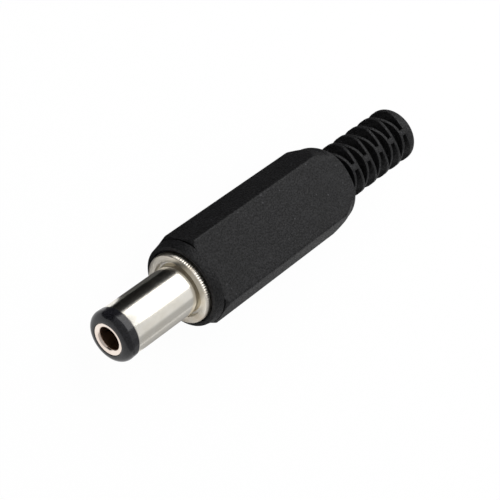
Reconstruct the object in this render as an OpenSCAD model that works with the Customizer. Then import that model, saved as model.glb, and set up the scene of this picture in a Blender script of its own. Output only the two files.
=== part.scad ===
// DC barrel plug: a nickel-plated plug core with a black nose, screwed into a
// one-piece moulded handle that ends in a slotted bend relief.
//
// The plug's axis is Y. The tip points to -Y and the cable end to +Y. The
// origin is the centre of the flange's front face. One wide flat of the handle
// faces down and the other up, so +Z is up. Each piece is drawn along +Z and
// laid down at the end by along_axis().

/* [Barrel sleeve] */
// Outside diameter of the barrel
barrel_d = 5.5; // [5.3:0.1:5.7]
// Length of the barrel between the nose and the flange
barrel_len = 8.45; // [7:0.05:10]
// Wall of the barrel
barrel_wall = 0.35; // [0.3:0.01:0.4]
// Bevel on the barrel's front edge
barrel_bevel = 0.1; // [0.05:0.01:0.15]
// Diameter of the flange
flange_d = 7.8; // [7.6:0.1:8]
// Thickness of the flange
flange_t = 1.0; // [0.9:0.05:1.2]
// Bevel on the flange's edges
flange_bevel = 0.12; // [0.08:0.01:0.18]
// Width of the groove round the barrel's root
root_groove_w = 0.37; // [0.3:0.01:0.45]
// Depth of the groove round the barrel's root
root_groove_depth = 0.4; // [0.3:0.05:0.5]
// How much the barrel flares inside that groove
root_flare = 0.08; // [0.04:0.01:0.1]
// Outside diameter of the threaded shank
thread_d = 6.0; // [5.8:0.05:6.1]
// Length of the shank behind the flange
thread_len = 5.2; // [4.8:0.1:6]
// Width of the relief between flange and thread
relief_w = 0.5; // [0.3:0.05:0.7]
// Depth of that relief
relief_depth = 0.3; // [0.2:0.05:0.4]
// Wall of the spigot
spigot_wall = 0.3; // [0.25:0.01:0.35]
// How far the turned-over lip stands out past the spigot
lip_w = 0.16; // [0.1:0.01:0.18]
// Length of the turned-over lip
lip_len = 0.2; // [0.15:0.01:0.3]

/* [Nose insulator] */
// How far the nose stands out past the barrel all round
nose_proud = 0.08; // [0.05:0.01:0.15]
// How much less it stands out at its rear edge, as draft for the mould
nose_draft = 0.04; // [0.01:0.01:0.05]
// Length of the nose in front of the barrel
nose_len = 1.55; // [1.3:0.05:1.8]
// Radius of the nose's rounded front
nose_round = 0.9; // [0.6:0.05:0.92]
// How far the insulator's wide tube stops short of the flange's back
nose_tube_short = 0.15; // [0.1:0.01:0.3]
// Length of the insulator's narrow neck
neck_len = 2.8; // [1.5:0.1:3]
// Thickness of the insulator's end behind the contact's step
nose_end_t = 0.3; // [0.2:0.05:0.4]

/* [Centre contact] */
// Bore of the centre contact
contact_bore = 2.5; // [2.1:0.1:2.5]
// Wall of the centre contact
contact_wall = 0.35; // [0.25:0.01:0.36]
// How far the mouth's flange stands out past the contact
mouth_rim = 0.2; // [0.1:0.01:0.25]
// Thickness of the mouth's flange
mouth_t = 0.4; // [0.3:0.05:0.5]
// Width of the funnel at the mouth
funnel_w = 0.35; // [0.25:0.01:0.4]
// Distance of the mouth behind the nose's front face
mouth_inset = 0.05; // [0:0.01:0.2]
// Thickness of the contact behind its bore
contact_end_t = 0.4; // [0.3:0.05:0.8]
// Diameter of the contact's stem
stem_d = 1.6; // [1.4:0.05:1.8]
// Diameter of the riveted head
rivet_d = 2.3; // [2:0.05:2.5]
// Height of the riveted head
rivet_h = 0.35; // [0.25:0.05:0.5]

/* [Rear washer] */
// Gap between the insulating washer and the sleeve tag's arm
washer_gap = 0.1; // [0.05:0.01:0.15]
// Thickness of the washer's disc
washer_t = 0.55; // [0.4:0.05:0.8]
// Length of the washer's spigot inside the sleeve
washer_spigot_len = 1.2; // [0.8:0.1:1.5]

/* [Solder tags] */
// Sheet thickness of both tags
tag_t = 0.35; // [0.3:0.01:0.4]
// Gap between the sleeve tag and the handle's bore
tag_gap = 0.35; // [0.3:0.01:0.4]
// Width of the sleeve tag's ring inside its arm
tag_ring_w = 0.25; // [0.2:0.01:0.3]
// Width of the sleeve tag's arm
arm_w = 2.2; // [1.8:0.1:2.3]
// Length of the arm, from the sleeve tag's ring to its claws
arm_len = 7.8; // [7:0.1:8.5]
// Diameter of the wire hole in the arm
arm_hole_d = 1.2; // [0.8:0.1:1.3]
// Distance of the wire hole behind the ring
arm_hole_at = 4.0; // [3.2:0.1:5]
// Length of the cable claws
claw_len = 3.5; // [3:0.1:4]
// Opening of the claws, in degrees
claw_gap = 100; // [80:5:130]
// Diameter of the centre tag's ring
centre_tag_d = 3.3; // [3:0.05:3.6]
// Width of the centre tag's tongue
tongue_w = 1.4; // [1.2:0.05:1.6]
// Length of the centre tag's tongue
tongue_len = 4.6; // [4:0.1:5.2]
// Diameter of the wire hole in the tongue
tongue_hole_d = 0.8; // [0.6:0.05:0.9]

/* [Handle collar] */
// Distance of the collar's front behind the flange's front face
collar_inset = 0.6; // [0.4:0.05:0.8]
// Wall of the collar round the flange's seat, at its front
collar_wall = 0.47; // [0.4:0.01:0.5]
// How far the collar's rear edge stays below the grip's narrow flats
collar_drop = 0.02; // [0.01:0.01:0.1]
// Length of the collar
collar_len = 1.25; // [1:0.05:1.5]
// Bevel on the collar's front edge
collar_bevel = 0.1; // [0.05:0.01:0.15]
// Gap round the flange in the collar's seat
seat_gap = 0.2; // [0.1:0.01:0.25]

/* [Handle grip] */
// Distance across opposite narrow flats of the grip
grip_af = 9.6; // [9.6:0.02:10]
// How much the grip's ridges are blunted
ridge_blunt = 0.055; // [0.03:0.005:0.1]
// Length of the grip from the collar to the end of its ridges
grip_len = 19.75; // [18:0.05:21]
// Bevel on the grip's front edge
grip_bevel = 0.3; // [0.2:0.05:0.45]
// Length of the taper behind the ridges
taper_len = 1.65; // [1.4:0.05:1.9]
// Radius of the round shoulder
shoulder_round = 1.6; // [1.4:0.05:1.7]
// How far the middle of that round lies below the tail's surface
shoulder_tuck = 0.23; // [0.1:0.01:0.3]
// How much of that round the tail cuts off
shoulder_cut = 0.05; // [0.02:0.01:0.1]

/* [Handle bore] */
// Length of the female thread's bore past the shank
female_extra = 0.6; // [0.3:0.1:1]
// Step from the female thread's bore in to the bore round the tags
cavity_step = 0.3; // [0.25:0.01:0.35]
// Length of the bore round the tags past the claws
cavity_extra = 2.0; // [1:0.1:2.5]
// Length of the funnel to the cable bore
funnel_len = 1.5; // [1:0.1:2]

/* [Bend relief] */
// Diameter of the slotted tail
tail_d = 6.36; // [6.2:0.02:6.5]
// Diameter of the cable bore, inside the end ring
cable_d = 4.0; // [3.6:0.1:4.1]
// How much wider the bore is at its front, all round, as draft for the mould
bore_draft = 0.1; // [0.05:0.01:0.15]
// Number of slot rows
slot_rows = 5; // [3:1:7]
// Thickness of one ring
ring_t = 0.38; // [0.3:0.01:0.45]
// Opening of a lens slot at its middle
lens_gap = 0.98; // [0.8:0.01:1.1]
// Length of a lens slot from tip to tip
lens_span = 4.8; // [4.5:0.05:5]
// Opening of a side window next to its bridge
window_gap = 0.51; // [0.4:0.01:0.6]
// Widest opening of a side window
window_w = 1.6; // [1.4:0.02:1.6]
// Width of the bridge between two side windows
bridge_w = 0.7; // [0.5:0.02:0.9]
// Length of the solid end ring
end_ring_len = 1.1; // [0.8:0.05:1.5]
// Radius of the end ring's rounded edge
end_round = 0.5; // [0.3:0.05:0.6]

/* [Fits] */
// Radial clearance between pieces pressed together
press_gap = 0.02; // [0.01:0.005:0.03]
// Radial clearance between shank and female thread
thread_gap = 0.05; // [0.02:0.01:0.08]

/* [Hidden] */
$fn = 96;

// A little extra, so that cuts pass right through
over = 0.1;

// Stations along the axis, from the flange's front face
barrel_front = -barrel_len;
nose_tube_end = flange_t - nose_tube_short;
contact_step = nose_tube_end - nose_end_t;
nose_front = barrel_front - nose_len;
mouth_front = nose_front + mouth_inset;
shank_end = flange_t + thread_len;
sleeve_tag_end = shank_end + tag_t;
sleeve_end = sleeve_tag_end + lip_len;
washer_end = sleeve_end + washer_t;
centre_tag_end = washer_end + tag_t;
claws_at = shank_end + arm_len;
claws_end = claws_at + claw_len;
female_end = shank_end + female_extra;
cavity_end = claws_end + cavity_extra;
funnel_end = cavity_end + funnel_len;
collar_end = collar_inset + collar_len;
ridge_end = collar_end + grip_len;
shoulder_at = ridge_end + taper_len;
tail_at = shoulder_at + shoulder_round - shoulder_cut;
row_pitch = lens_gap + window_gap + 2 * ring_t;
end_ring_at = tail_at + slot_rows * row_pitch;
tail_end = end_ring_at + end_ring_len;

// Radii, each from what it fits into or round
barrel_bore_r = barrel_d / 2 - barrel_wall;
nose_r = barrel_d / 2 + nose_proud;
contact_r = contact_bore / 2 + contact_wall;
mouth_r = contact_r + mouth_rim;
female_r = thread_d / 2 + thread_gap;
cavity_r = female_r - cavity_step;
tag_r = cavity_r - tag_gap;
spigot_r = tag_r - tag_t - tag_ring_w;
spigot_bore_r = spigot_r - spigot_wall;
washer_r = tag_r - tag_t - washer_gap;
seat_r = flange_d / 2 + seat_gap;
tail_r = tail_d / 2;
cable_r = cable_d / 2;
grip_corner_r = grip_af / 2 / cos(180 / 8);
ridge_r = grip_corner_r - ridge_blunt;
shoulder_centre_r = tail_r - shoulder_tuck;
shoulder_top_r = shoulder_centre_r + shoulder_round;

// Lens slots are bounded by arcs of this radius
lens_r = (pow(lens_span / 2, 2) + pow(lens_gap / 2, 2)) / lens_gap;

module along_axis() {
    rotate([-90, 0, 0]) children();
}

// A turned form: its 2D outline has the radius as x and the station as y
module turned() {
    rotate_extrude() children();
}

// A solid cylinder between two stations
module rod(r, from, to) {
    translate([0, 0, from]) cylinder(r = r, h = to - from);
}

// A cone's stump between two stations
module cone(r_from, r_to, from, to) {
    translate([0, 0, from]) cylinder(r1 = r_from, r2 = r_to, h = to - from);
}

// Half of a 2D band in a turned outline, from the axis to radius r
module band(r, from, to) {
    translate([0, from]) square([r, to - from]);
}

// ---------------------------------------------------------------- handle

module collar() {
    front_r = seat_r + collar_wall;
    rear_r = grip_af / 2 - collar_drop;
    turned() polygon([
        [0, collar_inset],
        [front_r - collar_bevel, collar_inset],
        [front_r, collar_inset + collar_bevel],
        [rear_r, collar_end],
        [0, collar_end]
    ]);
}

// Outline that blunts the ridges, bevels the front and rounds the shoulder
module grip_envelope() {
    bevel_r = ridge_r - grip_bevel;
    turned() {
        polygon([
            [0, collar_end],
            [bevel_r, collar_end],
            [ridge_r, collar_end + grip_bevel],
            [ridge_r, ridge_end],
            [shoulder_top_r, shoulder_at],
            [shoulder_centre_r, shoulder_at],
            [shoulder_centre_r, tail_at],
            [0, tail_at]
        ]);
        intersection() {
            translate([shoulder_centre_r, shoulder_at]) circle(r = shoulder_round);
            band(shoulder_top_r, shoulder_at - taper_len / 2, tail_at);
        }
    }
}

// The grip is an octagon without its top and bottom corners, which leaves two
// wide flats, one up and one down
module grip() {
    corners = [for (k = [0:7]) if (k % 4 != 2) 45 * k];
    intersection() {
        translate([0, 0, collar_end]) linear_extrude(tail_at - collar_end)
            polygon([for (a = corners) grip_corner_r * [cos(a), sin(a)]]);
        grip_envelope();
    }
}

module tail() {
    turned() {
        band(tail_r, tail_at - over, tail_end - end_round);
        band(tail_r - end_round, tail_at, tail_end);
        translate([tail_r - end_round, tail_end - end_round]) circle(r = end_round);
    }
}

// Everything that the core and the cable pass through
module handle_bore() {
    rod(seat_r, collar_inset - over, flange_t);
    rod(female_r, flange_t - over, female_end);
    rod(cavity_r, female_end - over, cavity_end);
    cone(cavity_r, cable_r + bore_draft, cavity_end, funnel_end);
    cone(cable_r + bore_draft, cable_r, funnel_end, end_ring_at);
    rod(cable_r, cavity_end, tail_end + over);
}

// Lens slot, drawn with the station as y; it starts at station "from"
module lens_outline(from) {
    intersection() {
        translate([0, from + lens_r]) circle(r = lens_r);
        translate([0, from + lens_gap - lens_r]) circle(r = lens_r);
    }
}

// The pair of side windows behind the lens slot that starts at station "from"
module window_outline(from) {
    middle = from + lens_gap + ring_t + window_gap / 2;
    reach = 2 * (tail_r + over);
    difference() {
        translate([-reach / 2, middle - window_w / 2]) square([reach, window_w]);
        translate([-bridge_w / 2, middle - window_w]) square([bridge_w, 2 * window_w]);
        translate([0, from + lens_gap - lens_r]) circle(r = lens_r + ring_t);
        translate([0, from + row_pitch + lens_r]) circle(r = lens_r + ring_t);
    }
}

// The bend relief's slots all run straight down through the tail, the way the
// two halves of the mould open
module relief_slots() {
    rotate([90, 0, 0]) translate([0, 0, -tail_r - over])
        linear_extrude(2 * (tail_r + over)) for (row = [0:slot_rows - 1]) {
            lens_outline(tail_at + row * row_pitch);
            window_outline(tail_at + row * row_pitch);
        }
}

module handle() {
    color("#1c1c1e") along_axis() difference() {
        union() {
            collar();
            grip();
            tail();
        }
        handle_bore();
        relief_slots();
    }
}

// ------------------------------------------------------------------ core

module barrel_sleeve() {
    r = barrel_d / 2;
    flange_r = flange_d / 2;
    shank_r = thread_d / 2;
    groove_r = r + root_groove_w;
    color("#d9d4c4") along_axis() difference() {
        turned() polygon([
            [0, barrel_front],
            [r - barrel_bevel, barrel_front],
            [r, barrel_front + barrel_bevel],
            [r, 0],
            [r + root_flare, root_groove_depth],
            [groove_r, root_groove_depth],
            [groove_r, 0],
            [flange_r - flange_bevel, 0],
            [flange_r, flange_bevel],
            [flange_r, flange_t - flange_bevel],
            [flange_r - flange_bevel, flange_t],
            [shank_r - relief_depth, flange_t],
            [shank_r - relief_depth, flange_t + relief_w],
            [shank_r, flange_t + relief_w + relief_depth],
            [shank_r, shank_end - relief_depth],
            [shank_r - relief_depth, shank_end],
            [spigot_r, shank_end],
            [spigot_r, sleeve_tag_end],
            [spigot_r + lip_w, sleeve_tag_end],
            [spigot_r, sleeve_end],
            [0, sleeve_end]
        ]);
        rod(barrel_bore_r, barrel_front - over, nose_tube_end);
        rod(spigot_bore_r, nose_tube_end - over, sleeve_end + over);
    }
}

module nose_insulator() {
    round_r = nose_r - nose_round;
    color("#17171a") along_axis() difference() {
        turned() {
            polygon([
                [0, nose_front + nose_round],
                [nose_r, nose_front + nose_round],
                [nose_r - nose_draft, barrel_front],
                [0, barrel_front]
            ]);
            band(round_r, nose_front, barrel_front);
            intersection() {
                translate([round_r, nose_front + nose_round]) circle(r = nose_round);
                band(nose_r, nose_front, nose_front + nose_round + over);
            }
            band(barrel_bore_r - press_gap, barrel_front - over, nose_tube_end);
            band(spigot_bore_r - press_gap, contact_step, nose_tube_end + neck_len);
        }
        rod(mouth_r + press_gap, nose_front - over, mouth_front + mouth_t);
        rod(contact_r + press_gap, nose_front, contact_step);
        rod(stem_d / 2 + press_gap, nose_front, nose_tube_end + neck_len + over);
    }
}

module centre_contact() {
    bore_r = contact_bore / 2;
    stem_r = stem_d / 2;
    color("#d8c3b0") along_axis() difference() {
        turned() polygon([
            [0, mouth_front],
            [mouth_r, mouth_front],
            [mouth_r, mouth_front + mouth_t],
            [contact_r, mouth_front + mouth_t],
            [contact_r, contact_step],
            [stem_r, contact_step],
            [stem_r, centre_tag_end],
            [rivet_d / 2, centre_tag_end],
            [stem_r, centre_tag_end + rivet_h],
            [0, centre_tag_end + rivet_h]
        ]);
        rod(bore_r, mouth_front - over, contact_step - contact_end_t);
        translate([0, 0, mouth_front - over])
            cylinder(r1 = bore_r + funnel_w + over, r2 = bore_r, h = funnel_w + over);
    }
}

module rear_washer() {
    spigot_at = sleeve_end - washer_spigot_len;
    color("#8a5a34") along_axis() difference() {
        union() {
            rod(washer_r, sleeve_end, washer_end);
            rod(spigot_bore_r - press_gap, spigot_at, washer_end);
        }
        rod(stem_d / 2 + press_gap, spigot_at - over, washer_end + over);
    }
}

// A sheet strip bent square: up from the axis to "height", then rearwards
module bent_strip(width, height, from, to) {
    rotate([90, 0, 90]) translate([0, 0, -width / 2]) linear_extrude(width)
        difference() {
            translate([height - tag_t, from]) square([tag_t, to - from]);
            difference() {
                translate([height - tag_t, from - over]) square([tag_t + over, tag_t + over]);
                translate([height - tag_t, from + tag_t]) circle(r = tag_t);
            }
        }
}

module sleeve_tag() {
    color("#cfcabb") along_axis() difference() {
        union() {
            rod(tag_r - tag_t, shank_end, sleeve_tag_end);
            intersection() {
                rod(tag_r, shank_end, sleeve_tag_end);
                translate([0, tag_r / 2, shank_end])
                    cube([arm_w, tag_r, 2 * tag_t], center = true);
            }
            bent_strip(arm_w, tag_r, shank_end, claws_at + over);
            translate([0, 0, claws_at]) rotate([0, 0, 90 - (180 - claw_gap / 2)])
                rotate_extrude(angle = 360 - claw_gap)
                    translate([tag_r - tag_t, 0]) square([tag_t, claw_len]);
        }
        rod(spigot_r + press_gap, shank_end - over, sleeve_tag_end + over);
        translate([0, 0, shank_end + arm_hole_at]) rotate([-90, 0, 0])
            cylinder(d = arm_hole_d, h = 2 * tag_r);
        rod(tag_r - tag_t, sleeve_tag_end, claws_end + over);
    }
}

module centre_tag() {
    tongue_r = centre_tag_d / 2;
    tongue_end = washer_end + tongue_len;
    hole_at = tongue_end - tongue_w / 2;
    color("#cfcabb") along_axis() rotate([0, 0, 180]) difference() {
        union() {
            rod(tongue_r - tag_t, washer_end, centre_tag_end);
            translate([-tongue_w / 2, 0, washer_end])
                cube([tongue_w, tongue_r - tag_t, tag_t]);
            bent_strip(tongue_w, tongue_r, washer_end, hole_at);
            translate([0, tongue_r, hole_at]) rotate([90, 0, 0])
                cylinder(d = tongue_w, h = tag_t);
        }
        rod(stem_d / 2 + press_gap, washer_end - over, centre_tag_end + over);
        translate([0, 0, hole_at]) rotate([-90, 0, 0])
            cylinder(d = tongue_hole_d, h = 2 * tongue_r);
    }
}

handle();
barrel_sleeve();
nose_insulator();
centre_contact();
rear_washer();
sleeve_tag();
centre_tag();
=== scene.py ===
import logging
import math
from collections.abc import Callable, Sequence
from dataclasses import dataclass, field
from enum import Enum

import bmesh
import bpy
from mathutils import Matrix, Vector


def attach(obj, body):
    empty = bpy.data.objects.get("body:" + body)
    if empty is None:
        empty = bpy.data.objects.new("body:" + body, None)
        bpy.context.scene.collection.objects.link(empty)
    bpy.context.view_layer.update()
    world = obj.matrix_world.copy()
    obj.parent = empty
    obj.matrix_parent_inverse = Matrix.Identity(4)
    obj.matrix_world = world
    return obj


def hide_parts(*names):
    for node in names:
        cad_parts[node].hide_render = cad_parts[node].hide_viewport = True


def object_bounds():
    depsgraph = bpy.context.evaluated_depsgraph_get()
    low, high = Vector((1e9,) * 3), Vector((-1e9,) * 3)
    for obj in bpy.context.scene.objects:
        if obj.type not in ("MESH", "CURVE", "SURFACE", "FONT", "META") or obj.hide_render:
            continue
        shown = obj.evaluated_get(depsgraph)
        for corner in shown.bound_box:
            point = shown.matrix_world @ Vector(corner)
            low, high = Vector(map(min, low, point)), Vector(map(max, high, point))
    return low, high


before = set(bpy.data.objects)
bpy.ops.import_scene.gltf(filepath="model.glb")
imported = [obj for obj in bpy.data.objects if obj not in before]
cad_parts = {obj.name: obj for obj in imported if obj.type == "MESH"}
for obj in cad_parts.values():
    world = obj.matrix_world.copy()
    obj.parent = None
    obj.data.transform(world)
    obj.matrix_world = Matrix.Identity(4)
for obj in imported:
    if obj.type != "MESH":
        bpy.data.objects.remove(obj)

CAD_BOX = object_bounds()
LOG = logging.getLogger("dc_plug")
MM = 0.001
SLACK = 0.001  # millimetres, for comparing places
WELD = 1e-7  # metres, and so are the next two
SLOT_WELD = 4e-6
SLIVER = 1e-6

Point = tuple[float, float]
Place = tuple[float, float, float]
Colour = tuple[float, float, float, float]
Finishes = dict[str, bpy.types.Material]

WHITE: Colour = (1.0, 1.0, 1.0, 1.0)


class Body(Enum):
    """The two bodies that move against each other."""

    CORE = "core"
    HANDLE = "handle"


# --------------------------------------------------------------- mesh tools


class Lathe:
    """Turns outlines round the plug's axis, which is the Y axis."""

    def __init__(self, steps: int) -> None:
        """Keeps the number of steps in a full turn."""
        self.steps = steps

    def wire(self, mesh: bmesh.types.BMesh, outline: Sequence[Point], closed: bool) -> list:
        """Draws an outline in the plane of Y and Z.

        Args:
            mesh: The mesh that gets the wire.
            outline: Radius and station of each corner, in millimetres.
            closed: Whether the last corner joins the first.

        Returns:
            The new vertices and edges.
        """
        corners = [mesh.verts.new((0.0, station * MM, radius * MM)) for radius, station in outline]
        ends = corners[1:] + corners[:1] if closed else corners[1:]
        edges = [mesh.edges.new(pair) for pair in zip(corners, ends)]
        return corners + edges

    def turn(self, outline: Sequence[Point], closed: bool = True) -> bmesh.types.BMesh:
        """Spins an outline once round.

        Args:
            outline: Radius and station of each corner, in millimetres.
            closed: Whether the outline is a ring or starts and ends on the axis.

        Returns:
            A mesh with its faces pointing outwards.
        """
        mesh = bmesh.new()
        bmesh.ops.spin(
            mesh, geom=self.wire(mesh, outline, closed), cent=(0, 0, 0), axis=(0, 1, 0),
            angle=2 * math.pi, steps=self.steps, use_merge=True, use_duplicate=False,
        )
        bmesh.ops.remove_doubles(mesh, verts=mesh.verts, dist=WELD)
        bmesh.ops.recalc_face_normals(mesh, faces=mesh.faces)
        return mesh

    def thread(self, outline: Sequence[Point], pitch: float, turns: float) -> bmesh.types.BMesh:
        """Sweeps the outline of a thread's ridge along a right-hand helix.

        Args:
            outline: The ridge's corners at its start, in millimetres.
            pitch: Advance in one turn, in millimetres.
            turns: Number of turns.

        Returns:
            The ridge, closed at both ends.
        """
        mesh = bmesh.new()
        ring = self.wire(mesh, outline, True)
        start = mesh.faces.new([item for item in ring if isinstance(item, bmesh.types.BMVert)])
        bmesh.ops.spin(
            mesh, geom=[start, *start.edges, *start.verts], cent=(0, 0, 0), axis=(0, 1, 0),
            dvec=(0, pitch * MM / self.steps, 0), angle=2 * math.pi * turns,
            steps=round(self.steps * turns), use_merge=False, use_duplicate=False,
        )
        bmesh.ops.recalc_face_normals(mesh, faces=mesh.faces)
        return mesh


@dataclass(frozen=True)
class ScrewThread:
    """One thread: its ridge where it starts, and how far it runs, in millimetres."""

    root_r: float
    crest_r: float
    root_span: Point
    crest_span: Point
    length: float
    pitch: float = 0.75
    steps: int = 72

    def build(self) -> bmesh.types.BMesh:
        """Sweeps the ridge along its helix.

        Returns:
            The ridge, closed at both ends.
        """
        ridge = [
            (self.root_r, self.root_span[0]), (self.crest_r, self.crest_span[0]),
            (self.crest_r, self.crest_span[1]), (self.root_r, self.root_span[1]),
        ]
        return Lathe(self.steps).thread(ridge, self.pitch, self.length / self.pitch)


def soften(mesh: bmesh.types.BMesh, width: float, segments: int, corner: float) -> None:
    """Rounds every edge that is sharper than a given angle.

    Args:
        mesh: The mesh to change.
        width: Width of the round, in millimetres.
        segments: Faces across the round.
        corner: Smallest angle between faces that counts as an edge, in degrees.
    """
    edges = [
        edge for edge in mesh.edges
        if len(edge.link_faces) == 2 and edge.calc_face_angle(0.0) > math.radians(corner)
    ]
    bmesh.ops.bevel(
        mesh, geom=edges, offset=width * MM, offset_type="OFFSET", affect="EDGES",
        segments=segments, profile=0.5, material=-1, clamp_overlap=False,
    )


def arc(centre: Point, radius: float, start: float, end: float, count: int) -> list[Point]:
    """Samples an arc of an outline; angles run from outwards (0) to rearwards (90), in degrees."""
    turns = [math.radians(start + (end - start) * step / count) for step in range(count + 1)]
    return [(centre[0] + radius * math.cos(a), centre[1] + radius * math.sin(a)) for a in turns]


def stretch(start: Point, end: Point, count: int) -> list[Point]:
    """Divides a straight stretch of an outline into equal steps.

    Args:
        start: Radius and station of the first corner.
        end: Radius and station of the last corner.
        count: Number of steps.

    Returns:
        The corners, with both ends.
    """
    across, along = end[0] - start[0], end[1] - start[1]
    return [(start[0] + across * step / count, start[1] + along * step / count)
            for step in range(count + 1)]


def set_radius(vert: bmesh.types.BMVert, radius: float) -> None:
    """Moves a vertex straight in or out to a new radius, in metres."""
    scale = radius / math.hypot(vert.co.x, vert.co.z)
    vert.co = Vector((vert.co.x * scale, vert.co.y, vert.co.z * scale))


def merged(*meshes: bmesh.types.BMesh) -> bmesh.types.BMesh:
    """Puts several meshes into the first one and frees the others.

    Args:
        meshes: The meshes, the first of which is kept.

    Returns:
        The first mesh, with all the others in it.
    """
    whole = meshes[0]
    for extra in meshes[1:]:
        copy = bpy.data.meshes.new("part")
        extra.to_mesh(copy)
        extra.free()
        whole.from_mesh(copy)
        bpy.data.meshes.remove(copy)
    return whole


def to_object(name: str, mesh: bmesh.types.BMesh, sharp: float = 32.0) -> bpy.types.Object:
    """Makes a smooth-shaded object of a mesh, at the origin.

    Args:
        name: The object's name.
        mesh: The finished mesh, which is freed.
        sharp: Edges over this angle stay sharp, in degrees.

    Returns:
        The new object.
    """
    data = bpy.data.meshes.new(name)
    mesh.to_mesh(data)
    mesh.free()
    data.shade_smooth()
    data.set_sharp_from_angle(angle=math.radians(sharp))
    made = bpy.data.objects.new(name, data)
    bpy.context.scene.collection.objects.link(made)
    return made


def flat_normals(piece: bpy.types.Object) -> None:
    """Keeps broad faces flat beside their rounded edges.

    Args:
        piece: The piece that gets the modifier.
    """
    weighted = piece.modifiers.new("flat_normals", "WEIGHTED_NORMAL")
    weighted.weight = 80
    weighted.keep_sharp = True


def second_finish(piece: bpy.types.Object, chosen: Callable[[float, float], bool]) -> None:
    """Gives some faces the second finish of a piece.

    Args:
        piece: A piece with two finishes.
        chosen: Tells from a face's radius and station, in millimetres, whether it is one.
    """
    for face in piece.data.polygons:
        place = face.center
        if chosen(math.hypot(place.x, place.z) / MM, place.y / MM):
            face.material_index = 1


def report(piece: bpy.types.Object, body: Body, slot: str, *nodes: str) -> None:
    """Ties a piece to its body, hides the nodes it stands for and logs it.

    Args:
        piece: The finished piece.
        body: The body that carries it.
        slot: The record's material slot; not used.
        nodes: The nodes that it replaces.
    """
    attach(piece, body.value)
    if nodes:
        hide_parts(*nodes)
    LOG.info("%s rides on %s, %d faces", piece.name, body.value, len(piece.data.polygons))


# ---------------------------------------------------------------- materials


class Graph:
    """A node tree with short ways to add and join nodes."""

    def __init__(self, tree: bpy.types.NodeTree) -> None:
        """Keeps the tree."""
        self.tree = tree

    def add(self, kind: str, settings: dict | None = None, **values: object) -> bpy.types.Node:
        """Adds a node.

        Args:
            kind: The node's type name.
            settings: Properties of the node.
            values: Inputs by name, with underscores for spaces, or by place, as i0 for the
                first. A socket is linked and anything else is set.

        Returns:
            The new node.
        """
        node = self.tree.nodes.new(kind)
        for key, value in (settings or {}).items():
            setattr(node, key, value)
        for key, value in values.items():
            index = int(key[1:]) if key[:1] == "i" and key[1:].isdigit() else key.replace("_", " ")
            self.feed(node.inputs[index], value)
        return node

    def feed(self, socket: bpy.types.NodeSocket, value: object) -> None:
        """Links or sets one input.

        Args:
            socket: The input.
            value: A socket to link, or a value to set.
        """
        if isinstance(value, bpy.types.NodeSocket):
            self.tree.links.new(value, socket)
        else:
            socket.default_value = value

    def ramp(self, fac: bpy.types.NodeSocket, low: float, high: float) -> bpy.types.NodeSocket:
        """Maps low..high to 0..1, clamped and eased.

        Args:
            fac: The value to map.
            low: What becomes 0.
            high: What becomes 1.

        Returns:
            The mapped value.
        """
        node = self.add("ShaderNodeMapRange", {"interpolation_type": "SMOOTHSTEP"}, Value=fac)
        node.inputs["From Min"].default_value = low
        node.inputs["From Max"].default_value = high
        return node.outputs["Result"]

    def span(self, fac: bpy.types.NodeSocket, low: float, high: float) -> bpy.types.NodeSocket:
        """Maps 0..1 to low..high.

        Args:
            fac: The value to map.
            low: What 0 becomes.
            high: What 1 becomes.

        Returns:
            The mapped value.
        """
        node = self.add("ShaderNodeMapRange", None, Value=fac)
        node.inputs["To Min"].default_value = low
        node.inputs["To Max"].default_value = high
        return node.outputs["Result"]

    def mix(self, fac: object, first: object, second: object) -> bpy.types.NodeSocket:
        """Mixes two colours."""
        node = self.add("ShaderNodeMix", {"data_type": "RGBA"}, i0=fac, i6=first, i7=second)
        return node.outputs[2]

    def greater(self, first: object, second: object) -> bpy.types.NodeSocket:
        """Gives the greater of two values."""
        return self.add("ShaderNodeMath", {"operation": "MAXIMUM"}, i0=first, i1=second).outputs[0]

    def bump(self, strength: float, depth: float, **sockets: object) -> bpy.types.NodeSocket:
        """Turns a height into a normal; the height and any normal below it go by name."""
        node = self.add("ShaderNodeBump", None, Strength=strength, Distance=depth, **sockets)
        return node.outputs["Normal"]


def new_material(name: str) -> tuple[bpy.types.Material, Graph, bpy.types.Node]:
    """Starts a material.

    Args:
        name: The material's name.

    Returns:
        The material, its graph and its main shader.
    """
    made = bpy.data.materials.new(name)
    made.use_nodes = True
    return made, Graph(made.node_tree), made.node_tree.nodes["Principled BSDF"]


def matt_paint(shader: bpy.types.Node, shade: float, rough: float) -> None:
    """Makes a shader a grey paint with no gloss.

    Args:
        shader: The main shader of a material.
        shade: How pale it is.
        rough: Its roughness.
    """
    shader.inputs["Base Color"].default_value = (shade, shade, shade, 1.0)
    shader.inputs["Roughness"].default_value = rough
    shader.inputs["Specular IOR Level"].default_value = 0.0


def new_group(
    name: str, inputs: dict[str, float], outputs: Sequence[str],
) -> tuple[Graph, bpy.types.Node, bpy.types.Node, bpy.types.NodeSocket]:
    """Starts a shader node group on object coordinates.

    Args:
        name: The group's name.
        inputs: Input names with their default values.
        outputs: Output names, all plain values.

    Returns:
        The group's graph, its input node, its output node and the object coordinates.
    """
    tree = bpy.data.node_groups.new(name, "ShaderNodeTree")
    for key, value in inputs.items():
        socket = tree.interface.new_socket(key, in_out="INPUT", socket_type="NodeSocketFloat")
        socket.default_value = value
    for key in outputs:
        tree.interface.new_socket(key, in_out="OUTPUT", socket_type="NodeSocketFloat")
    graph = Graph(tree)
    entry = graph.add("NodeGroupInput")
    leave = graph.add("NodeGroupOutput")
    place = graph.add("ShaderNodeTexCoord").outputs["Object"]
    return graph, entry, leave, place


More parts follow.
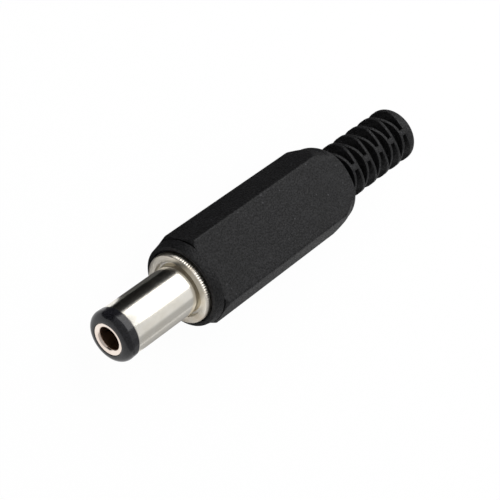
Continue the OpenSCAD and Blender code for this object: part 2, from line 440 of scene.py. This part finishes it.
def grain_group() -> bpy.types.NodeTree:
    """Builds the fine moulded grain with its pits and pale specks.

    Returns:
        The node group.
    """
    graph, entry, leave, place = new_group(
        "moulded_grain", {"Grain Scale": 9000.0, "Speck Scale": 1500.0},
        ("Height", "Speck", "Patch"),
    )
    fine = graph.add("ShaderNodeTexNoise", None, Vector=place, Scale=entry.outputs[0], Detail=3.0)
    cells = graph.add("ShaderNodeTexVoronoi", None, Vector=place, Scale=entry.outputs[0])
    blend = graph.add("ShaderNodeMath", {"operation": "MULTIPLY_ADD"},
                      i0=cells.outputs["Distance"], i1=0.45, i2=fine.outputs["Fac"])
    dots = graph.add("ShaderNodeTexVoronoi", None, Vector=place, Scale=entry.outputs[1])
    chance = graph.add("ShaderNodeSeparateColor", None, Color=dots.outputs["Color"])
    small = graph.ramp(dots.outputs["Distance"], 0.19, 0.05)
    some = graph.ramp(chance.outputs[0], 0.6, 0.95)
    speck = graph.add("ShaderNodeMath", {"operation": "MULTIPLY"}, i0=small, i1=some)
    broad = graph.add("ShaderNodeTexNoise", None, Vector=place, Scale=330.0, Detail=4.0)
    graph.feed(leave.inputs["Height"], blend.outputs[0])
    graph.feed(leave.inputs["Speck"], speck.outputs[0])
    graph.feed(leave.inputs["Patch"], graph.ramp(broad.outputs["Fac"], 0.35, 0.65))
    return graph.tree


def turning_group() -> bpy.types.NodeTree:
    """Builds the fine rings that a lathe tool leaves, with stains between them.

    Returns:
        The node group.
    """
    graph, entry, leave, place = new_group(
        "turned_rings", {"Ring Scale": 9000.0, "Stain Scale": 500.0}, ("Height", "Stain", "Pit"),
    )
    squash = graph.add("ShaderNodeMapping", None, Vector=place, Scale=(0.02, 1.0, 0.02))
    rings = graph.add("ShaderNodeTexNoise", None, Vector=squash.outputs[0],
                      Scale=entry.outputs[0], Detail=2.0)
    stain = graph.add("ShaderNodeTexNoise", None, Vector=place, Scale=entry.outputs[1], Detail=5.0)
    pits = graph.add("ShaderNodeTexNoise", None, Vector=place, Scale=7000.0, Detail=2.0)
    graph.feed(leave.inputs["Height"], rings.outputs["Fac"])
    graph.feed(leave.inputs["Stain"], graph.ramp(stain.outputs["Fac"], 0.42, 0.7))
    graph.feed(leave.inputs["Pit"], pits.outputs["Fac"])
    return graph.tree


class Effects:
    """The shared effects, each built once."""

    def __init__(self) -> None:
        """Builds the node groups."""
        self.grain = grain_group()
        self.turning = turning_group()

    def use(self, graph: Graph, tree: bpy.types.NodeTree, **values: float) -> bpy.types.Node:
        """Places a group in a material with its own values.

        Args:
            graph: The material's graph.
            tree: The group.
            values: The group's inputs by name, with underscores for spaces.

        Returns:
            The group's node.
        """
        node = graph.add("ShaderNodeGroup")
        node.node_tree = tree
        for key, value in values.items():
            node.inputs[key.replace("_", " ")].default_value = value
        return node


@dataclass(frozen=True)
class MouldedPlastic:
    """Black plastic: matt and grainy, or glossy."""

    name: str
    colour: Colour
    dust: Colour
    rough: tuple[float, float]
    grain_scale: float
    bump: float
    speck: float
    shine: float
    grain_depth: float = 0.00006
    pit_shade: float = 0.35
    peak_shade: float = 2.2
    patch_amount: float = 0.25

    def shaded(self, factor: float) -> Colour:
        """Gives the plastic's colour, darker or paler by a factor."""
        return tuple(channel * factor for channel in self.colour[:3]) + (1.0,)

    def build(self, effects: Effects) -> bpy.types.Material:
        """Builds the material.

        Args:
            effects: The shared node groups.

        Returns:
            The new material.
        """
        made, graph, shader = new_material(self.name)
        grain = effects.use(graph, effects.grain, Grain_Scale=self.grain_scale)
        pit = self.shaded(self.pit_shade)
        peaks = graph.ramp(grain.outputs["Height"], 0.45, 0.95)
        grained = graph.mix(peaks, pit, self.shaded(self.peak_shade))
        patch = graph.span(grain.outputs["Patch"], 0.0, self.patch_amount)
        specks = graph.span(grain.outputs["Speck"], 0.0, self.speck)
        tint = graph.mix(specks, graph.mix(patch, grained, pit), self.dust)
        graph.feed(shader.inputs["Base Color"], tint)
        graph.feed(shader.inputs["Roughness"], graph.span(peaks, *self.rough))
        shader.inputs["Specular IOR Level"].default_value = self.shine
        normal = graph.bump(self.bump, self.grain_depth, Height=grain.outputs["Height"])
        graph.feed(shader.inputs["Normal"], normal)
        return made


@dataclass(frozen=True)
class PlatedMetal:
    """Plated brass with tool rings, faint stains and small pits."""

    name: str
    colour: Colour
    stain: Colour
    rough: tuple[float, float]
    ring_scale: float = 9000.0
    bump: float = 0.1
    pit_bump: float = 0.05
    stain_amount: float = 0.5
    pit_depth: float = 0.00003
    ring_depth: float = 0.00001

    def build(self, effects: Effects) -> bpy.types.Material:
        """Builds the material.

        Args:
            effects: The shared node groups.

        Returns:
            The new material.
        """
        made, graph, shader = new_material(self.name)
        shader.inputs["Metallic"].default_value = 1.0
        rings = effects.use(graph, effects.turning, Ring_Scale=self.ring_scale)
        stains = graph.span(rings.outputs["Stain"], 0.0, self.stain_amount)
        graph.feed(shader.inputs["Base Color"], graph.mix(stains, self.colour, self.stain))
        graph.feed(shader.inputs["Roughness"], graph.span(rings.outputs["Stain"], *self.rough))
        pits = graph.bump(self.pit_bump, self.pit_depth, Height=rings.outputs["Pit"])
        normal = graph.bump(self.bump, self.ring_depth, Height=rings.outputs["Height"], Normal=pits)
        graph.feed(shader.inputs["Normal"], normal)
        return made


@dataclass(frozen=True)
class LaminatedBoard:
    """Brown insulating board with its paper layers showing at the rim."""

    name: str = "washer_board"
    light: Colour = (0.33, 0.17, 0.07, 1.0)
    dark: Colour = (0.17, 0.075, 0.03, 1.0)
    rough: tuple[float, float] = (0.45, 0.7)
    layer_scale: float = 14000.0
    fibre_scale: float = 1500.0
    bump: float = 0.3
    layer_depth: float = 0.00002

    def build(self, effects: Effects) -> bpy.types.Material:
        """Builds the material.

        Args:
            effects: The shared node groups.

        Returns:
            The new material.
        """
        made, graph, shader = new_material(self.name)
        layers = effects.use(graph, effects.turning, Ring_Scale=self.layer_scale,
                             Stain_Scale=self.fibre_scale)
        height = layers.outputs["Height"]
        graph.feed(shader.inputs["Base Color"], graph.mix(height, self.light, self.dark))
        graph.feed(shader.inputs["Roughness"], graph.span(layers.outputs["Stain"], *self.rough))
        normal = graph.bump(self.bump, self.layer_depth, Height=height)
        graph.feed(shader.inputs["Normal"], normal)
        return made


# ------------------------------------------------------------------- pieces


@dataclass
class PlugCore:
    """The turned sleeve with the nose, the contact and the solder tags behind it.

    Names that end in _r are radii; _front, _end and _at are stations along the axis.
    """

    barrel_r: float = 2.75
    barrel_front: float = -8.45
    barrel_edge: float = 0.09
    barrel_end: float = -0.02
    root_flare: float = 0.08
    flange_r: float = 3.9
    flange_t: float = 1.0
    flange_edge: float = 0.12
    flange_face_edge: float = 0.1
    groove_r: float = 3.12
    groove_depth: float = 0.4
    groove_edge: float = 0.02
    bore_r: float = 2.4
    shank_end: float = 6.2
    shank_edge: float = 0.1
    thread_r: float = 2.98
    thread_root_r: float = 2.64
    thread_sunk: float = 0.05
    thread_root_span: Point = (1.62, 2.32)
    thread_crest_span: Point = (1.92, 2.02)
    thread_runout: float = 2.4
    knurl_teeth: int = 90
    knurl_depth: float = 0.05
    knurl_from: float = 0.07
    nose_front: float = -10.0
    nose_r: float = 2.83
    nose_round: float = 0.9
    nose_edge: float = 0.03
    nose_root: float = 0.08
    mouth_r: float = 1.8
    mouth_front: float = -9.95
    mouth_t: float = 0.4
    mouth_edge: float = 0.05
    hole_r: float = 1.25
    funnel_w: float = 0.35
    sleeve_end: float = 6.75
    spigot_r: float = 1.8
    spigot_bore_r: float = 1.5
    lip_t: float = 0.2
    lip_out: float = 0.16
    bore_end: float = 0.15
    wide_end: float = 0.55
    tube_end: float = 0.85
    neck_end: float = 3.65
    fit_gap: float = 0.02
    stem_r: float = 0.8
    rivet_at: float = 7.65
    rivet_r: float = 1.14
    rivet_height: float = 0.34
    steps: int = 180

    def sleeve(self, finish: bpy.types.Material, flange: bpy.types.Material) -> bpy.types.Object:
        """Turns the sleeve, knurls its flange and cuts the shank's thread.

        Args:
            finish: The plated finish.
            flange: The flange's grainier finish.

        Returns:
            The sleeve.
        """
        root, third = self.thread_root_r, self.barrel_edge / 3
        lip_at = self.sleeve_end - self.lip_t
        mesh = Lathe(self.knurl_teeth * 4).turn([
            (self.bore_r, self.barrel_front),
            (self.barrel_r - self.barrel_edge, self.barrel_front),
            (self.barrel_r - third, self.barrel_front + third),
            (self.barrel_r, self.barrel_front + self.barrel_edge),
            (self.barrel_r, self.barrel_end),
            (self.barrel_r + self.root_flare, self.groove_depth),
            (self.groove_r - self.groove_edge, self.groove_depth),
            (self.groove_r, self.groove_edge),
            (self.groove_r + 2 * self.groove_edge, 0.0),
            (self.flange_r - self.flange_face_edge, 0.0),
            (self.flange_r - self.flange_edge / 4, self.flange_edge / 3),
            (self.flange_r, self.flange_edge),
            (self.flange_r, self.flange_t - self.flange_edge),
            (self.flange_r - self.flange_face_edge, self.flange_t),
            (root, self.flange_t),
            (root, self.shank_end - self.shank_edge),
            (root - self.shank_edge, self.shank_end),
            (self.spigot_r, self.shank_end),
            (self.spigot_r, lip_at),
            (self.spigot_r + self.lip_out, lip_at),
            (self.spigot_r + self.lip_t / 2, self.sleeve_end - self.lip_t / 4),
            (self.spigot_r, self.sleeve_end),
            (self.spigot_bore_r, self.sleeve_end),
            (self.spigot_bore_r, self.tube_end),
            (self.bore_r, self.tube_end),
        ])
        self.knurl(mesh)
        thread = ScrewThread(root - self.thread_sunk, self.thread_r, self.thread_root_span,
                             self.thread_crest_span, self.shank_end - self.thread_runout)
        made = to_object("plated_sleeve", merged(mesh, thread.build()))
        made.data.materials.append(finish)
        made.data.materials.append(flange)
        inner = self.groove_r - 1.5 * self.groove_edge
        second_finish(made, lambda reach, station: reach > inner and station < self.flange_t + 0.01)
        flat_normals(made)
        report(made, Body.CORE, "nickel", "barrel_sleeve")
        return made

    def knurl(self, mesh: bmesh.types.BMesh) -> None:
        """Presses straight teeth into the flange's rim.

        Args:
            mesh: The turned sleeve, with four columns of vertices for each tooth.
        """
        rim = (self.flange_r - self.knurl_from) * MM
        for vert in mesh.verts:
            reach = math.hypot(vert.co.x, vert.co.z)
            if reach >= rim:
                angle = math.atan2(vert.co.x, vert.co.z)
                dip = 0.5 - 0.5 * math.cos(angle * self.knurl_teeth)
                set_radius(vert, reach - self.knurl_depth * MM * dip)

    def nose(self, finish: bpy.types.Material) -> bpy.types.Object:
        """Turns the black nose with the tube behind it.

        Args:
            finish: The glossy finish.

        Returns:
            The nose.
        """
        gap, seat = self.fit_gap, self.mouth_front + self.mouth_t
        wall = self.hole_r + self.funnel_w + self.fit_gap
        middle = (self.nose_r - self.nose_round, self.nose_front + self.nose_round)
        mesh = Lathe(self.steps).turn([
            (self.mouth_r + gap, self.nose_front + self.nose_edge),
            (self.mouth_r + gap + self.nose_edge, self.nose_front),
            *arc(middle, self.nose_round, -90.0, 0.0, 14),
            (self.nose_r - self.nose_edge, self.barrel_front - 2 * self.nose_edge),
            (self.nose_r - self.nose_root, self.barrel_front),
            (self.bore_r - gap, self.barrel_front),
            (self.bore_r - gap, self.tube_end),
            (self.spigot_bore_r - gap, self.tube_end),
            (self.spigot_bore_r - gap, self.neck_end),
            (self.stem_r + gap, self.neck_end),
            (self.stem_r + gap, self.wide_end),
            (wall, self.wide_end),
            (wall, seat),
            (self.mouth_r + gap, seat),
        ])
        made = to_object("black_nose", mesh)
        made.data.materials.append(finish)
        flat_normals(made)
        report(made, Body.CORE, "nose_plastic", "nose_insulator")
        return made

    def contact(self, finish: bpy.types.Material, inside: bpy.types.Material) -> bpy.types.Object:
        """Turns the centre contact with its flared mouth, stem and riveted head.

        Args:
            finish: The finish of the outside and the mouth.
            inside: The finish of the bore's wall.

        Returns:
            The contact.
        """
        edge, seat = self.mouth_edge, self.mouth_front + self.mouth_t
        wall, throat = self.hole_r + self.funnel_w, self.mouth_front + self.funnel_w
        head = arc((0.0, 0.0), 1.0, 0.0, 90.0, 8)
        mesh = Lathe(self.steps).turn([
            (0.0, self.bore_end),
            (self.hole_r - edge, self.bore_end),
            (self.hole_r, self.bore_end - edge),
            (self.hole_r, throat + 2 * edge),
            *arc((wall, throat), self.funnel_w, -180.0, -90.0, 10),
            (self.mouth_r - edge, self.mouth_front),
            (self.mouth_r, self.mouth_front + edge),
            (self.mouth_r, seat),
            (wall, seat),
            (wall, self.wide_end),
            (self.stem_r, self.wide_end),
            (self.stem_r, self.rivet_at),
            *[(r * self.rivet_r, self.rivet_at + s * self.rivet_height) for r, s in head],
        ], closed=False)
        made = to_object("centre_contact_tube", mesh)
        made.data.materials.append(finish)
        made.data.materials.append(inside)
        limit, deep = self.hole_r + 0.01, self.bore_end + SLACK
        second_finish(made, lambda reach, station: reach < limit and station < deep)
        report(made, Body.CORE, "contact_metal", "centre_contact")
        return made

    def build(self, finishes: Finishes) -> None:
        """Builds the sleeve, the nose and the contact, and finishes the carried-over nodes.

        Args:
            finishes: Materials by the record's slot names, with two more for this core.
        """
        self.sleeve(finishes["nickel"], finishes["flange_nickel"])
        self.nose(finishes["nose_plastic"])
        self.contact(finishes["contact_metal"], finishes["darker_bore_metal"])
        for node, slot in (("rear_washer", "washer_board"), ("sleeve_tag", "tag_metal"),
                           ("centre_tag", "tag_metal")):
            carried = bpy.data.objects[node]
            for holder in carried.material_slots:
                holder.link = "OBJECT"
                holder.material = finishes[slot]
            LOG.info("%s keeps its solid and gets %s", node, slot)


@dataclass
class ScrewHandle:
    """The one-piece handle: collar, faceted grip, round shoulder and slotted tail.

    Names that end in _r are radii; _front, _end and _at are stations along the axis.
    """

    collar_front: float = 0.6
    collar_end: float = 1.85
    collar_edge: float = 0.1
    seat_r: float = 4.1
    seat_edge: float = 0.04
    collar_front_r: float = 4.57
    collar_rear_r: float = 4.78
    gap_w: float = 0.12
    gap_depth: float = 0.28
    lip_round: tuple[Point, ...] = ((0.01, 0.07), (0.03, 0.02), (0.07, 0.0))
    across_flats: float = 9.6
    ridge_r: float = 5.141
    bevel: float = 0.3
    grip_rows: tuple[float, ...] = (2.25, 2.55, 3.05, 6.0, 11.0, 16.0, 20.5, 21.3)
    ridge_end: float = 21.6
    shoulder_at: float = 23.25
    shoulder_r: float = 2.95
    shoulder_round: float = 1.6
    tail_at: float = 24.8
    tail_r: float = 3.18
    tail_end: float = 37.15
    tail_overlap: float = 0.5
    tail_steps: int = 192
    end_round: float = 0.5
    land_len: float = 1.1
    land_edge: float = 0.08
    ridge_round: float = 0.12
    inside_r: float = 2.9
    least_facing: float = 0.2
    flange_t: float = 1.0
    female_r: float = 3.05
    female_edge: float = 0.1
    female_end: float = 6.8
    thread_r: float = 2.74
    thread_sunk: float = 0.03
    thread_root_span: Point = (2.04, 2.66)
    thread_crest_span: Point = (2.33, 2.37)
    thread_runout: float = 2.9
    cavity_r: float = 2.75
    cavity_end: float = 19.5
    funnel_end: float = 21.0
    cable_r: float = 2.0
    draft: float = 0.1
    rows: int = 5
    ring_t: float = 0.38
    lens_gap: float = 0.98
    lens_span: float = 4.8
    window_gap: float = 0.51
    window_w: float = 1.6
    bridge_w: float = 0.7
    knife_reach: float = 0.3
    columns: int = 480
    slot_edge: float = 0.055
    flats: list[tuple[float, float]] = field(init=False)

    def __post_init__(self) -> None:
        """Works out each flat's direction from up, in radians, and its distance from the axis."""
        narrow = self.across_flats / 2
        wide = narrow / math.cos(math.pi / 8) * math.cos(math.pi / 4)
        self.flats = [(math.radians(turn), wide) for turn in (0.0, 180.0)]
        self.flats += [(math.radians(turn), narrow) for turn in (67.5, 112.5, 247.5, 292.5)]

    @property
    def pitch(self) -> float:
        """Distance from one row of slots to the next."""
        return self.lens_gap + self.window_gap + 2 * self.ring_t

    @property
    def lens_arc(self) -> float:
        """Radius of the arcs that bound a lens slot."""
        return ((self.lens_span / 2) ** 2 + (self.lens_gap / 2) ** 2) / self.lens_gap

    def grip(self) -> bmesh.types.BMesh:
        """Turns collar, grip and bores together, then presses the flats into the grip.

        Returns:
            The handle without its tail.
        """
        front, rear = self.collar_front, self.collar_rear_r
        lead = self.collar_front_r - self.collar_edge
        lip, pocket = self.collar_end - self.gap_w, rear - self.gap_depth
        foot = (self.ridge_r - self.bevel, self.collar_end)
        rise = stretch(foot, (self.ridge_r, self.collar_end + self.bevel), 6)
        rows = [(self.ridge_r, station) for station in self.grip_rows]
        top = (self.shoulder_r + self.shoulder_round, self.shoulder_at)
        taper = stretch((self.ridge_r, self.ridge_end), top, 24)
        turn_end = math.degrees(math.asin((self.tail_at - self.shoulder_at) / self.shoulder_round))
        middle = (self.shoulder_r, self.shoulder_at)
        shoulder = arc(middle, self.shoulder_round, 0.0, turn_end, 26)[1:]
        wide = self.cable_r + self.draft
        mesh = Lathe(self.columns).turn([
            (self.seat_r + self.seat_edge, front),
            (lead, front),
            (lead + 0.06, front + 0.02),
            (self.collar_front_r, front + self.collar_edge),
            *[(rear - inwards, lip - forwards) for inwards, forwards in self.lip_round],
            (pocket, lip),
            (pocket, self.collar_end),
            *rise, *rows, *taper, *shoulder,
            (wide, self.tail_at),
            (wide, self.funnel_end),
            (self.cavity_r, self.cavity_end),
            (self.cavity_r, self.female_end),
            (self.female_r, self.female_end),
            (self.female_r, self.flange_t + self.female_edge),
            (self.female_r + self.female_edge, self.flange_t),
            (self.seat_r, self.flange_t),
            (self.seat_r, front + self.seat_edge),
        ])
        self.press_flats(mesh)
        bmesh.ops.recalc_face_normals(mesh, faces=mesh.faces)
        return mesh

    def press_flats(self, mesh: bmesh.types.BMesh) -> None:
        """Moves the grip's outside in to its flats, with a small round along each ridge.

        Args:
            mesh: The turned handle.
        """
        for vert in mesh.verts:
            reach, station = math.hypot(vert.co.x, vert.co.z) / MM, vert.co.y / MM
            on_grip = self.collar_end - SLACK <= station <= self.tail_at + SLACK
            at_collar = station < self.collar_end + SLACK and reach < self.collar_rear_r - SLACK
            if reach < self.inside_r or not on_grip or at_collar:
                continue
            angle = math.atan2(vert.co.x, vert.co.z)
            for turn, distance in self.flats:
                facing = math.cos(angle - turn)
                if facing > self.least_facing:
                    reach = self.soft_least(reach, distance / facing)
            set_radius(vert, reach * MM)

    def soft_least(self, first: float, second: float) -> float:
        """Gives the lesser of two radii, rounded off where they meet."""
        overlap = max(self.ridge_round - abs(first - second), 0.0) / self.ridge_round
        return min(first, second) - overlap * overlap * self.ridge_round / 4

    def tube(self) -> bmesh.types.BMesh:
        """Turns the tail before its slots are cut.

        Returns:
            The plain tail.
        """
        start, end = self.tail_at - self.tail_overlap, self.tail_end
        corner = (self.tail_r - self.end_round, end - self.end_round)
        return Lathe(self.tail_steps).turn([
            (self.tail_r, start),
            *arc(corner, self.end_round, 0.0, 90.0, 10),
            (self.cable_r + self.land_edge, end),
            (self.cable_r, end - self.land_edge),
            (self.cable_r, end - self.land_len),
            (self.cable_r + self.draft + 0.01, start),
        ])

    def prism(self, mesh: bmesh.types.BMesh, outline: Sequence[Point]) -> None:
        """Adds a cutter that runs straight down through the tail.

        Args:
            mesh: The mesh of all cutters.
            outline: Sideways place and station of each corner, in millimetres.
        """
        low = -(self.tail_r + self.knife_reach) * MM
        face = mesh.faces.new([mesh.verts.new((x * MM, y * MM, low)) for x, y in outline])
        raised = bmesh.ops.extrude_face_region(mesh, geom=[face])
        verts = [item for item in raised["geom"] if isinstance(item, bmesh.types.BMVert)]
        bmesh.ops.translate(mesh, verts=verts, vec=(0, 0, -2 * low))

    def lens(self, start: float, count: int = 32) -> list[Point]:
        """Outlines a lens slot.

        Args:
            start: Station of the slot's front at its middle.
            count: Corners along each of its two arcs, less one.

        Returns:
            The slot's corners.
        """
        half, radius, quarter = self.lens_span / 2, self.lens_arc, math.pi / 2
        across = [half * math.sin(quarter * (2 * step / count - 1)) for step in range(count + 1)]
        front = [(x, start + radius - math.sqrt(radius**2 - x * x)) for x in across]
        back = [(x, start + self.lens_gap - radius + math.sqrt(radius**2 - x * x))
                for x in reversed(across)]
        return front + back[1:-1]

    def window(self, start: float, side: int, count: int = 18) -> list[Point]:
        """Outlines a side window behind a lens slot.

        Args:
            start: Station of the lens slot's front at its middle.
            side: 1 for the right window, -1 for the left.
            count: Corners along each long side, less one.

        Returns:
            The window's corners.
        """
        radius, half = self.lens_arc + self.ring_t, self.window_w / 2
        first, last = start + self.lens_gap + self.ring_t, start + self.pitch - self.ring_t
        middle = first + self.window_gap / 2
        inner, outer = self.bridge_w / 2, self.tail_r + self.knife_reach
        front, back = [], []
        for step in range(count + 1):
            x = inner + (outer - inner) * step / count
            fall = radius - math.sqrt(radius**2 - x * x)
            front.append((side * x, max(first - fall, middle - half)))
            back.append((side * x, min(last + fall, middle + half)))
        return front + back[::-1]

    def cut_tail(self) -> bmesh.types.BMesh:
        """Cuts the slots through the tail and rounds their edges.

        Returns:
            The slotted tail.
        """
        blank = to_object("tail_blank", self.tube())
        knives = bmesh.new()
        for row in range(self.rows):
            start = self.tail_at + row * self.pitch
            for outline in (self.lens(start), self.window(start, 1), self.window(start, -1)):
                self.prism(knives, outline)
        bmesh.ops.recalc_face_normals(knives, faces=knives.faces)
        cutter = to_object("tail_cutter", knives)
        cut = blank.modifiers.new("slots", "BOOLEAN")
        cut.object, cut.operation, cut.solver = cutter, "DIFFERENCE", "EXACT"
        done = blank.evaluated_get(bpy.context.evaluated_depsgraph_get()).to_mesh()
        mesh = bmesh.new()
        mesh.from_mesh(done)
        for spare in (blank, cutter):
            data = spare.data
            bpy.data.objects.remove(spare)
            bpy.data.meshes.remove(data)
        bmesh.ops.remove_doubles(mesh, verts=mesh.verts, dist=SLOT_WELD)
        bmesh.ops.dissolve_degenerate(mesh, edges=mesh.edges, dist=SLIVER)
        soften(mesh, self.slot_edge, 2, 35.0)
        return mesh

    def build(self, finishes: Finishes) -> bpy.types.Object:
        """Builds the whole handle.

        Args:
            finishes: Materials by the record's slot names.

        Returns:
            The handle.
        """
        thread = ScrewThread(self.female_r + self.thread_sunk, self.thread_r,
                             self.thread_root_span, self.thread_crest_span,
                             self.female_end - self.thread_runout)
        made = to_object("screw_handle", merged(self.grip(), self.cut_tail(), thread.build()))
        made.data.materials.append(finishes["handle_plastic"])
        report(made, Body.HANDLE, "handle_plastic", "handle")
        return made


# ------------------------------------------------------- floor, light, camera


@dataclass(frozen=True)
class Softbox:
    """A rectangular lamp; its place and target are in metres and its power in watts."""

    name: str
    place: Place
    target: Place
    size: tuple[float, float]
    power: float

    def build(self) -> None:
        """Hangs the lamp so that it faces its target."""
        data = bpy.data.lights.new(self.name, "AREA")
        data.shape = "RECTANGLE"
        data.size, data.size_y = self.size
        data.energy = self.power
        lamp = bpy.data.objects.new(self.name, data)
        lamp.location = self.place
        lamp.rotation_mode = "QUATERNION"
        aim = Vector(self.target) - Vector(self.place)
        lamp.rotation_quaternion = aim.to_track_quat("-Z", "Y")
        bpy.context.scene.collection.objects.link(lamp)


@dataclass(frozen=True)
class Card:
    """A card beside the plug that only reflections show, placed above the floor in metres."""

    name: str
    place: Place
    size: tuple[float, float]
    shade: float
    tilt: float = 0.0

    def build(self, level: float) -> None:
        """Sets the card up.

        Args:
            level: Height of the floor.
        """
        mesh = bmesh.new()
        bmesh.ops.create_grid(mesh, x_segments=2, y_segments=2, size=0.5)
        bmesh.ops.scale(mesh, verts=mesh.verts, vec=(*self.size, 1.0))
        turn = Matrix.Rotation(math.radians(self.tilt), 4, "Y")
        shift = Matrix.Translation(Vector(self.place) + Vector((0.0, 0.0, level)))
        bmesh.ops.transform(mesh, verts=mesh.verts, matrix=shift @ turn)
        card = to_object(self.name, mesh)
        made, _, shader = new_material(self.name + "_paint")
        matt_paint(shader, self.shade, 1.0)
        card.data.materials.append(made)
        card.visible_camera = False
        card.visible_diffuse = False
        card.visible_shadow = False


@dataclass
class Studio:
    """Pale floor, soft lamps, cards and the camera; angles are in degrees."""

    azimuth: float = -12.53
    elevation: float = 50.9
    roll: float = 69.78
    distance: float = 0.165
    focal: float = 111.6
    sensor: float = 36.0
    aim: Place = (0.00165, 0.01293, -0.00298)
    floor_half: float = 1.6
    floor_shade: float = 0.95
    floor_glow: float = 0.97
    sky: float = 0.45
    lamps: tuple[Softbox, ...] = (
        Softbox("overhead", (-0.118, 0.22, 0.254), (0.0, 0.22, 0.0), (0.36, 0.39), 1.1),
        Softbox("right_fill", (0.16, 0.22, 0.24), (0.0, 0.22, 0.0), (0.40, 0.22), 0.10),
    )
    cards: tuple[Card, ...] = (
        Card("left_card", (-0.0115, 0.012, 0.0058), (0.0115, 0.07), 0.012, 90.0),
        Card("right_card", (0.038, 0.038, 0.00002), (0.08, 0.084), 0.5),
        # Painted shadow: a dark sheet on the floor at the plug's left, seen only in reflections,
        # stands in for the plug's shadow there.
        Card("under_card", (-0.00685, 0.022, 0.00002), (0.0093, 0.052), 0.1),
    )

    def floor(self, level: float) -> None:
        """Lays a pale floor that shows white to the camera, in metal and through glass.

        Args:
            level: Height of the floor.
        """
        mesh = bmesh.new()
        bmesh.ops.create_grid(mesh, x_segments=8, y_segments=8, size=self.floor_half)
        bmesh.ops.translate(mesh, verts=mesh.verts, vec=(0, 0, level))
        floor = to_object("floor", mesh)
        made, graph, shader = new_material("pale_floor")
        matt_paint(shader, self.floor_shade, 0.9)
        glow = graph.add("ShaderNodeEmission", None, Color=WHITE, Strength=1.0)
        rays = graph.add("ShaderNodeLightPath").outputs
        shiny = graph.greater(rays["Is Glossy Ray"], rays["Is Transmission Ray"])
        direct = graph.greater(rays["Is Camera Ray"], shiny)
        seen = graph.add("ShaderNodeMath", {"operation": "MULTIPLY"}, i0=direct,
                         i1=self.floor_glow)
        mix = graph.add("ShaderNodeMixShader", None, i0=seen.outputs[0], i1=shader.outputs[0],
                        i2=glow.outputs[0])
        leave = made.node_tree.nodes["Material Output"]
        graph.feed(leave.inputs["Surface"], mix.outputs[0])
        floor.data.materials.append(made)

    def light(self, level: float) -> None:
        """Sets the world, the lamps and the cards.

        Args:
            level: Height of the floor.
        """
        world = bpy.data.worlds.new("studio")
        bpy.context.scene.world = world
        world.use_nodes = True
        back = world.node_tree.nodes["Background"]
        back.inputs["Color"].default_value = WHITE
        back.inputs["Strength"].default_value = self.sky
        for lamp in self.lamps:
            lamp.build()
        for card in self.cards:
            card.build(level)

    def camera(self) -> None:
        """Places the camera by its angles round the aim point."""
        turn, rise = math.radians(self.azimuth), math.radians(self.elevation)
        back = Vector((math.sin(turn) * math.cos(rise), -math.cos(turn) * math.cos(rise),
                       math.sin(rise)))
        data = bpy.data.cameras.new("camera")
        data.lens = self.focal
        data.sensor_width = self.sensor
        data.clip_start, data.clip_end = 0.005, 20.0
        camera = bpy.data.objects.new("camera", data)
        camera.location = Vector(self.aim) + back * self.distance
        look = (-back).to_track_quat("-Z", "Y").to_matrix().to_4x4()
        look = look @ Matrix.Rotation(math.radians(self.roll), 4, "Z")
        camera.rotation_mode = "QUATERNION"
        camera.rotation_quaternion = look.to_quaternion()
        bpy.context.scene.collection.objects.link(camera)
        bpy.context.scene.camera = camera


def build_finishes() -> Finishes:
    """Builds every finish once.

    Returns:
        Materials by the record's slot names, with more for the flange and the contact's bore.
    """
    effects = Effects()
    finishes = (
        MouldedPlastic("handle_plastic", (0.0065, 0.0065, 0.007, 1.0), (0.12, 0.12, 0.13, 1.0),
                       (0.60, 0.36), 5200.0, 1.0, 0.5, 0.21),
        MouldedPlastic("nose_plastic", (0.008, 0.008, 0.010, 1.0), (0.05, 0.05, 0.06, 1.0),
                       (0.21, 0.18), 6000.0, 0.03, 0.25, 0.42),
        PlatedMetal("nickel", (0.86, 0.83, 0.76, 1.0), (0.78, 0.73, 0.63, 1.0), (0.20, 0.24),
                    9000.0, 0.16, 0.05, 0.45),
        PlatedMetal("flange_nickel", (0.90, 0.85, 0.76, 1.0), (0.70, 0.61, 0.48, 1.0),
                    (0.34, 0.44), 5000.0, 0.12, 0.5, 0.7),
        PlatedMetal("contact_metal", (0.92, 0.82, 0.74, 1.0), (0.74, 0.58, 0.48, 1.0), (0.2, 0.28)),
        # The bore's wall gets a darker, browner metal than the contact's outside.
        PlatedMetal("darker_bore_metal", (0.52, 0.38, 0.28, 1.0), (0.30, 0.2, 0.13, 1.0), (0.3, 0.42)),
        PlatedMetal("tag_metal", (0.78, 0.76, 0.70, 1.0), (0.62, 0.58, 0.50, 1.0), (0.25, 0.42),
                    3000.0, 0.05, 0.25, 0.7),
        LaminatedBoard(),
    )
    return {finish.name: finish.build(effects) for finish in finishes}


def main() -> None:
    """Builds the plug, its studio and its camera, and reports each piece."""
    logging.basicConfig(level=logging.INFO, format="%(message)s")
    finishes = build_finishes()
    PlugCore().build(finishes)
    ScrewHandle().build(finishes)
    level = CAD_BOX[0].z
    studio = Studio()
    studio.floor(level)
    studio.light(level)
    studio.camera()
    bpy.context.scene.view_settings.view_transform = "Standard"
    bpy.context.view_layer.update()
    LOG.info("sizes written")


if __name__ == "__main__":
    main()
